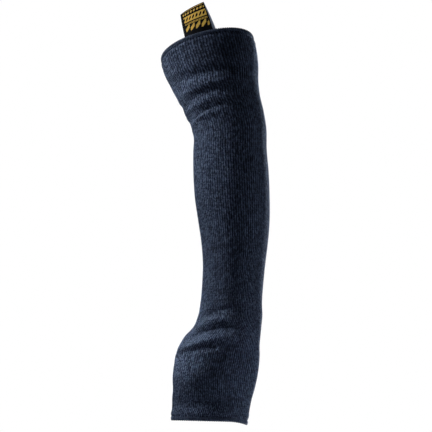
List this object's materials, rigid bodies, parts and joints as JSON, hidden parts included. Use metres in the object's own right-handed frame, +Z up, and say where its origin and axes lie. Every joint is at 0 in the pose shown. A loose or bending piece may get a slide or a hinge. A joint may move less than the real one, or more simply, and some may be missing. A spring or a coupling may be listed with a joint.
{
  "type": "cut resistant sleeve",
  "caption": "Long knitted tube sleeve that guards the arm against cuts from the palm to above the elbow, with overlocked edges and a folded woven label at the top.",
  "frame": {"origin": "the middle of the elbow, inside the hollow, where the arm that wears the sleeve holds it", "axes": "+X to the right as the sleeve is seen from the front, +Y to the back, +Z up the arm from the palm to the upper arm"},
  "size_m": [0.1314, 0.1124, 0.5037],
  "materials": {
    "knit": "dull ribbed knit of dark blue-grey heathered yarn",
    "edge_thread": "overlock stitching in thread of the knit's colour",
    "label_tape": "woven tape, gold pattern on black"
  },
  "bodies": {
    "root": {"knit_sleeve": "knit", "upper_edge_overlock": "edge_thread", "lower_edge_overlock": "edge_thread", "woven_label": "label_tape"}
  },
  "joints": []
}
